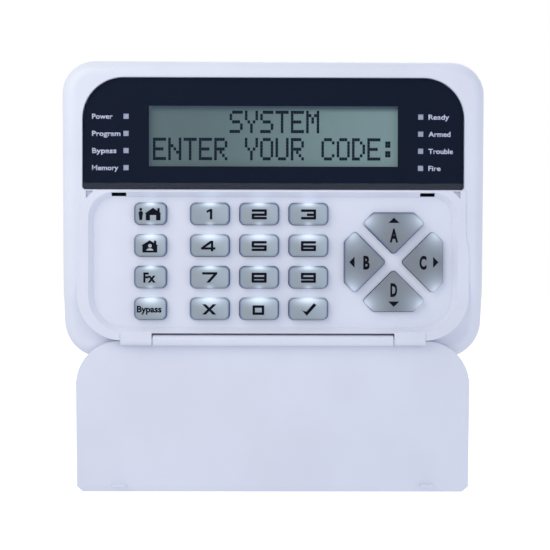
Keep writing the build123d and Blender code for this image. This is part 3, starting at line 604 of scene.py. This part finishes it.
def cells(pattern, columns, rows):
    """Polygons of the filled cells of a drawn pattern, between its column and row edges."""
    boxes = []
    for line, (top, bottom) in zip(pattern.split(), zip(rows, rows[1:])):
        for mark, (left, right) in zip(line, zip(columns, columns[1:])):
            if mark == "#":
                boxes.append([(left, top), (right, top), (right, bottom), (left, bottom)])
    return boxes


def arc(x, z, radius, steps, degrees=360.0):
    """Points of a circle, or of its first degrees, counted from the right."""
    count = steps + 1 if degrees < 360 else steps
    angles = [math.radians(degrees) * i / steps for i in range(count)]
    return [(x + radius * math.cos(a), z + radius * math.sin(a)) for a in angles]


def text_mesh(text, bold):
    """Flat mesh of a word in the built-in font at size 1."""
    curve = bpy.data.curves.new(text, "FONT")
    curve.body = text
    curve.offset = bold
    curve.resolution_u = 4
    source = bpy.data.objects.new(text, curve)
    bpy.context.scene.collection.objects.link(source)
    bpy.context.view_layer.update()
    graph = bpy.context.evaluated_depsgraph_get()
    data = bpy.data.meshes.new_from_object(source.evaluated_get(graph))
    bpy.data.objects.remove(source)
    mesh = bmesh.new()
    mesh.from_mesh(data)
    bpy.data.meshes.remove(data)
    return mesh


def written(name, text, cap_height, width, bold, start, material, body, slot, centred=True):
    """Word as a thin solid of a cap height and a width; start is (x, depth, z) of its foot."""
    mesh = text_mesh(text, bold)
    left = min(vertex.co.x for vertex in mesh.verts)
    right = max(vertex.co.x for vertex in mesh.verts)
    origin = (left + right) / 2 if centred else left
    across = width / (right - left)
    upward = cap_height / (FONT_CAP_HEIGHT + bold)
    x, depth, z = start
    for vertex in mesh.verts:
        point = (
            x + (vertex.co.x - origin) * across,
            PRINT_SINK - depth,
            z + vertex.co.y * upward,
        )
        vertex.co = Vector(point) * MM
    bmesh.ops.remove_doubles(mesh, verts=mesh.verts, dist=MERGE * MM)
    return finish_flat(name, mesh, PRINT_SINK + PRINT_RISE, material, body)


# Legends --------------------------------------------------------------------------------


def digit_shapes():
    """Polygons of the legends that aren't made of square cells."""
    return {
        "key_1": [
            [(0.05, 1.95), (0.95, 1.95), (0.95, -2.2), (-0.02, -2.2), (-0.02, 0.95),
             (-1.1, 0.38), (-1.5, 1.1)],
        ],
        "key_4": [
            [(0.2, 1.9), (1.35, 1.9), (1.35, -0.7), (0.4, -0.7), (0.4, 0.8)],
            [(0.2, 1.9), (0.4, 0.8), (-1.8, -0.7), (-3.5, -0.8)],
            [(-3.5, -0.8), (-1.8, -0.7), (0.4, -0.7), (0.4, -1.6), (-3.5, -1.6)],
            [(0.4, -0.7), (1.35, -0.7), (1.35, -1.6), (1.35, -2.3), (0.4, -2.3), (0.4, -1.6)],
            [(1.35, -0.7), (2.2, -0.7), (2.2, -1.6), (1.35, -1.6)],
        ],
        "key_7": [
            [(-3.05, 2.0), (2.95, 2.0), (2.95, 1.3), (-0.1, -2.15), (-1.45, -2.15), (1.4, 1.08),
             (-3.05, 1.08)],
        ],
        "key_cross": [
            [(-0.2, 0.45), (1.15, 1.85), (2.65, 1.85), (0.55, -0.2), (2.65, -2.25),
             (1.15, -2.25), (-0.2, -0.85), (-1.55, -2.25), (-3.05, -2.25), (-0.95, -0.2),
             (-3.05, 1.85), (-1.55, 1.85)],
        ],
        "key_tick": [
            [(-2.85, -0.15), (-2.05, -0.75), (-0.75, -1.0), (2.2, 2.35), (3.2, 1.6),
             (-0.6, -2.7)],
        ],
    }


def key_middle(key):
    low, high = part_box(key)
    return (low.x + high.x) / 2 / MM, (low.z + high.z) / 2 / MM


def digits(dark, depth):
    """Digits, cross and tick; each has its polygons and how far its corners are rounded."""
    printed = {
        key: (cells(pattern, DIGIT_COLUMNS, DIGIT_ROWS), DIGIT_ROUNDING)
        for key, pattern in DIGIT_CELLS.items()
    }
    printed["key_0"] = (cells("### #.# ###", RING_COLUMNS, RING_ROWS), RING_ROUNDING)
    for key, polygons in digit_shapes().items():
        printed[key] = (polygons, 0.0)
    for key, (polygons, rounding) in printed.items():
        name, at = "legend_" + key, key_middle(key)
        flat_piece(name, polygons, at, depth, dark, key, rounding)


def house_and_person(dark, depth):
    """Leave-home sign: a person beside a house."""
    key = "key_leave_home"
    at = key_middle(key)
    house = [
        (1.01, 2.365), (2.715, 1.199), (2.715, 2.2), (3.65, 2.2), (3.65, 0.55), (4.376, 0.055),
        (3.98, 0.055), (3.98, -2.64), (2.22, -2.64), (2.22, -0.55), (-0.2, -0.55),
        (-0.2, -2.64), (-1.85, -2.64), (-1.85, 0.055), (-2.345, 0.055),
    ]
    body = arc(-3.85, 0.2, 0.9, 12, 180)
    body += [(-4.55, -0.9), (-4.4, -2.5), (-3.3, -2.5), (-3.15, -0.9)]
    head = arc(-3.85, 1.75, 0.58, 24)
    flat_piece("legend_house_out", [house], at, depth, dark, key)
    flat_piece("legend_person_body", [body], at, depth, dark, key)
    flat_piece("legend_person_head", [head], at, depth, dark, key)


def house_with_person(dark, light, depth):
    """Stay-home sign: a house with a light figure in it."""
    key = "key_stay_home"
    at = key_middle(key)
    house = [
        (-0.275, 2.052), (1.375, 1.026), (1.375, 1.89), (2.31, 1.89), (2.31, 0.432),
        (3.135, -0.054), (2.695, -0.054), (2.695, -2.808), (-3.19, -2.808), (-3.19, -0.054),
        (-3.685, -0.054),
    ]
    flat_piece("legend_house_in", [house], at, depth, dark, key)
    head = arc(-0.2, -0.15, 0.72, 24)
    shoulders = [(x, 0.6 * z - 2.0) for x, z in arc(-0.25, 0.0, 1.4, 16, 180)]
    raised = depth + PRINT_RISE
    flat_piece("legend_figure_head", [head], at, raised, light, key)
    flat_piece("legend_figure_body", [shoulders], at, raised, light, key)


def key_words(dark, depth):
    for key, (text, height, width, bold, (right, up)) in KEY_WORDS.items():
        x, z = key_middle(key)
        start = (x + right, depth, z + up)
        name = key.replace("key", "legend")
        written(name, text, height, width, bold, start, dark, key, "window_print")


def direction_legends(dark, depth):
    """A letter and an outward arrow on each direction key."""
    middle_x, middle_z = cluster_middle()
    wide, tall = ARROW_SIZE
    arrow = [(-wide / 2, -tall / 2), (0, tall / 2), (wide / 2, -tall / 2)]
    for key, (out_x, out_z) in DIRECTION_KEYS.items():
        letter = key[-1]
        x, z = middle_x + out_x * LETTER_OUT[key], middle_z + out_z * LETTER_OUT[key]
        start = (x, depth, z - LETTER_HEIGHT / 2)
        size = (LETTER_HEIGHT, LETTER_WIDTHS[key], LETTER_BOLD)
        name = "legend_letter_" + letter
        written(name, letter.upper(), *size, start, dark, key, "window_print")
        turned = [(u * out_z + v * out_x, v * out_z - u * out_x) for u, v in arrow]
        at = (middle_x + out_x * ARROW_OUT, middle_z + out_z * ARROW_OUT)
        flat_piece("legend_arrow_" + letter, [turned], at, depth, dark, key)


def lamp_labels(light, depth):
    for edge, labels in LABEL_COLUMNS:
        for (text, width), z in zip(labels.items(), LABEL_HEIGHTS):
            written(
                "label_" + text.lower(), text, LABEL_CAP_HEIGHT, width, LABEL_BOLD,
                (edge, depth, z - LABEL_CAP_HEIGHT / 2), light, "housing", "window_print",
                centred=False,
            )


def lit_dots():
    """Line, place in the line, row and column of each dot of the text."""
    for line, text in enumerate(DISPLAY_LINES):
        for place, letter in enumerate(text):
            for row, marks in enumerate(FONT[letter].split()):
                for column, mark in enumerate(marks):
                    if mark == "#":
                        yield line, place, row, column


def display_dots(material, low, high, depth):
    """The lit dots of both lines, as one thin piece just in front of the display's glass."""
    last_place, last_column = len(DISPLAY_LINES[0]) - 1, 4
    line_width = last_place * CHARACTER_PITCH + last_column * DOT_PITCH[0] + DOT_SIZE[0]
    left = (low.x + high.x) / 2 / MM + DISPLAY_SHIFT - line_width / 2
    top = high.z / MM - TOP_MARGIN
    wide, tall = DOT_SIZE
    mesh = bmesh.new()
    for line, place, row, column in lit_dots():
        x = left + place * CHARACTER_PITCH + column * DOT_PITCH[0]
        z = top - line * LINE_PITCH - row * DOT_PITCH[1]
        square = [(x, z), (x + wide, z), (x + wide, z - tall), (x, z - tall)]
        mesh.faces.new([mesh.verts.new(Vector((u, -depth, w)) * MM) for u, w in square])
    bmesh.ops.recalc_face_normals(mesh, faces=mesh.faces)
    return finish_flat("display_dots", mesh, DOT_THICK, material, "housing")


def coil_rings(mesh, start, length, radius, wire):
    """Rings of points along a coil that runs from start away from the wall."""
    rings = []
    count = round(SPRING_TURNS * SPRING_STEPS)
    for step in range(count + 1):
        angle = step * math.tau / SPRING_STEPS
        outward = Vector((math.cos(angle), 0, math.sin(angle)))
        middle = start - Vector((0, length * step / count, 0)) + outward * radius
        ring = []
        for side in range(SPRING_SIDES):
            turn = side * math.tau / SPRING_SIDES
            around = outward * math.cos(turn) + Vector((0, math.sin(turn), 0))
            ring.append(mesh.verts.new(middle + around * wire))
        rings.append(ring)
    return rings


def tamper_coil(material):
    """Coil spring round the tamper pin."""
    low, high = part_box("tamper_spring")
    wire = SPRING_WIRE_RADIUS * MM
    start = Vector(((low.x + high.x) / 2, high.y - wire, (low.z + high.z) / 2))
    mesh = bmesh.new()
    length = high.y - low.y - 2 * wire
    rings = coil_rings(mesh, start, length, (high.x - low.x) / 2 - wire, wire)
    for ring, following in zip(rings, rings[1:]):
        for side in range(SPRING_SIDES):
            other = (side + 1) % SPRING_SIDES
            mesh.faces.new((ring[side], ring[other], following[other], following[side]))
    mesh.faces.new(rings[0])
    mesh.faces.new(rings[-1])
    bmesh.ops.recalc_face_normals(mesh, faces=mesh.faces)
    for face in mesh.faces:
        face.smooth = len(face.verts) == 4
    coil = object_from(mesh, "tamper_coil")
    hand_over(coil, material, "housing")
    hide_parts("tamper_spring")
    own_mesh(coil)


# Light, stage and camera ----------------------------------------------------------------


def build_world():
    """White to the camera, pale to other rays, and dark behind the camera for reflections."""
    world = bpy.data.worlds.new("studio")
    world.use_nodes = True
    bpy.context.scene.world = world
    g = Graph(world.node_tree)
    direction = g.node("SeparateXYZ", Vector=g.node("TexCoord").outputs["Generated"])
    up, ahead = direction.outputs["Z"], direction.outputs["Y"]
    sky = g.mix(g.step(up, -0.8, 0.8), (0.80, 0.83, 0.94), (0.42, 0.45, 0.56))
    sky = g.mix(g.step(ahead, -0.25, 0.30), sky, (0.80, 0.81, 0.86))
    rays = g.node("LightPath")
    dark = g.times(g.step(ahead, -0.70, -0.88), rays.outputs["Is Glossy Ray"])
    sky = g.mix(dark, sky, (0.05, 0.06, 0.09))
    shade = g.mix(rays.outputs["Is Camera Ray"], sky, (1.0, 1.0, 1.0))
    g.output(g.node("Background", Color=shade, Strength=1.0), "OutputWorld")


def build_lights():
    for name, (at, aim, side, power, tint) in LIGHTS.items():
        light = bpy.data.lights.new(name, "AREA")
        light.shape = "SQUARE"
        light.size = side * MM
        light.energy = power
        light.color = tint
        lamp = bpy.data.objects.new(name, light)
        lamp.location = Vector(at) * MM
        way = (Vector(aim) - Vector(at)).normalized()
        lamp.rotation_euler = way.to_track_quat("-Z", "Y").to_euler()
        bpy.context.scene.collection.objects.link(lamp)


def build_floor():
    """Plain pale floor below the door."""
    mesh = bmesh.new()
    far = FLOOR_HALF
    corners = [(-far, -far), (far, -far), (far, far), (-far, far)]
    mesh.faces.new([mesh.verts.new(Vector((x, y, FLOOR_HEIGHT)) * MM) for x, y in corners])
    floor = object_from(mesh, "floor")
    material, g = new_graph("floor_paper")
    fibres = g.noise(2.0, detail=4.0)
    shader = principled(
        g,
        Base_Color=g.mix(fibres, (0.90, 0.90, 0.91), (0.93, 0.93, 0.94)),
        Roughness=0.85,
        Normal=g.bump(fibres, 0.05),
        Emission_Color=(1.0, 1.0, 1.0, 1.0),
        Emission_Strength=0.6,
    )
    g.output(shader)
    floor.data.materials.append(material)
    floor.visible_diffuse = floor.visible_glossy = False  # the sky below stands for its bounce


def build_camera():
    data = bpy.data.cameras.new("camera")
    data.angle = math.radians(CAMERA_ANGLE)
    camera = bpy.data.objects.new("camera", data)
    turn = Euler((0, 0, math.radians(CAMERA_YAW))).to_matrix()
    tilt = Euler((math.radians(90 - CAMERA_PITCH), 0, 0)).to_matrix()
    roll = Euler((0, 0, math.radians(CAMERA_ROLL))).to_matrix()
    place = Matrix.Translation(Vector(CAMERA_AT) * MM)
    camera.matrix_world = place @ (turn @ tilt @ roll).to_4x4()
    bpy.context.scene.collection.objects.link(camera)
    bpy.context.scene.camera = camera


# Assembly -------------------------------------------------------------------------------


def slot_materials(view_low, view_high):
    """One material for each of the record's slots, apart from the keys."""
    return {
        "housing_plastic": moulded_plastic("housing_plastic", (0.80, 0.825, 0.905), 0.36),
        "window_clear": clear_window("window_clear"),
        "window_print": printed_film("window_print"),
        "display_glass": display_face("display_glass", view_low, view_high),
        "bezel_steel": moulded_plastic("bezel_steel", (0.02, 0.022, 0.028), 0.4),
        "light_guide": light_guide("light_guide"),
        "black_rubber": rubber("black_rubber", (0.02, 0.02, 0.022)),
        "board_green": circuit_board("board_green"),
        "black_plastic": moulded_plastic("black_plastic", (0.022, 0.022, 0.025), 0.5),
        "lamp_body": moulded_plastic("lamp_body", (0.85, 0.84, 0.70), 0.3),
        "terminal_plastic": moulded_plastic("terminal_plastic", (0.02, 0.20, 0.08), 0.45),
        "screw_steel": metal("screw_steel", (0.62, 0.63, 0.66), 0.28, 0.3, 0.006),
        "capacitor_can": metal("capacitor_can", (0.72, 0.74, 0.78), 0.35, 0.5, 0.01),
        "plunger_plastic": moulded_plastic("plunger_plastic", (0.74, 0.75, 0.74), 0.4),
        "mat_rubber": rubber("mat_rubber", (0.58, 0.60, 0.62)),
    }


def dress(node, material):
    """Gives a CAD node its material in place of the plain one it was packed with."""
    node.data.materials.clear()
    node.data.materials.append(material)


def thin_by_a_hair(film):
    """Frees the film's faces from the window and the cover, which they touch exactly."""
    shrink = film.modifiers.new("hair", "DISPLACE")
    shrink.mid_level = 0.0
    shrink.strength = -FILM_GAP * MM


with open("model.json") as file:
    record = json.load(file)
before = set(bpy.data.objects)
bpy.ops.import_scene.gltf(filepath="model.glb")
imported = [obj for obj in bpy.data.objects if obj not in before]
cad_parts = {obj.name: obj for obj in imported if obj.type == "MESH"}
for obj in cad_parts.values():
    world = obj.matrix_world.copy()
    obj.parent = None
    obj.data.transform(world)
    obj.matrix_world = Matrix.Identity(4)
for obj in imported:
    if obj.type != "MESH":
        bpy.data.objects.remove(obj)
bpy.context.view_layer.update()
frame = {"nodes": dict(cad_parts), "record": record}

bezel_low, bezel_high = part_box("display_bezel")
view_centre = (bezel_low + bezel_high) / 2
view_half = Vector((VIEW_HALF[0], 0, VIEW_HALF[1])) * MM
view_low, view_high = view_centre - view_half, view_centre + view_half

materials = slot_materials(view_low, view_high)
for part in frame["record"]["subparts"]:
    if part["material_slot"] in materials:
        dress(frame["nodes"][part["node"]], materials[part["material_slot"]])
for row, keys in enumerate(GRID_KEYS):
    for key in keys:
        dress(frame["nodes"][key], grid_key_material(key, row))
for key, outward in DIRECTION_KEYS.items():
    dress(frame["nodes"][key], direction_key_material(key, outward))

thin_by_a_hair(frame["nodes"]["window_mask"])

key_face = -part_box("key_5")[0].y / MM
glass_front = -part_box("display_glass")[0].y / MM
film_front = -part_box("window_mask")[0].y / MM
dark_ink = ink("legend_ink", (0.004, 0.005, 0.014))
light_ink = ink("label_ink", (0.70, 0.72, 0.86))
figure_ink = ink("figure_ink", (0.50, 0.56, 0.60))
digits(dark_ink, key_face)
house_and_person(dark_ink, key_face)
house_with_person(dark_ink, figure_ink, key_face)
key_words(dark_ink, key_face)
direction_legends(dark_ink, key_face)
lamp_labels(light_ink, film_front)
tamper_coil(materials["screw_steel"])
display_dots(ink("display_ink", (0.006, 0.014, 0.031)), view_low, view_high, glass_front)

build_world()
build_lights()
build_floor()
build_camera()
bpy.context.scene.view_settings.view_transform = "Standard"
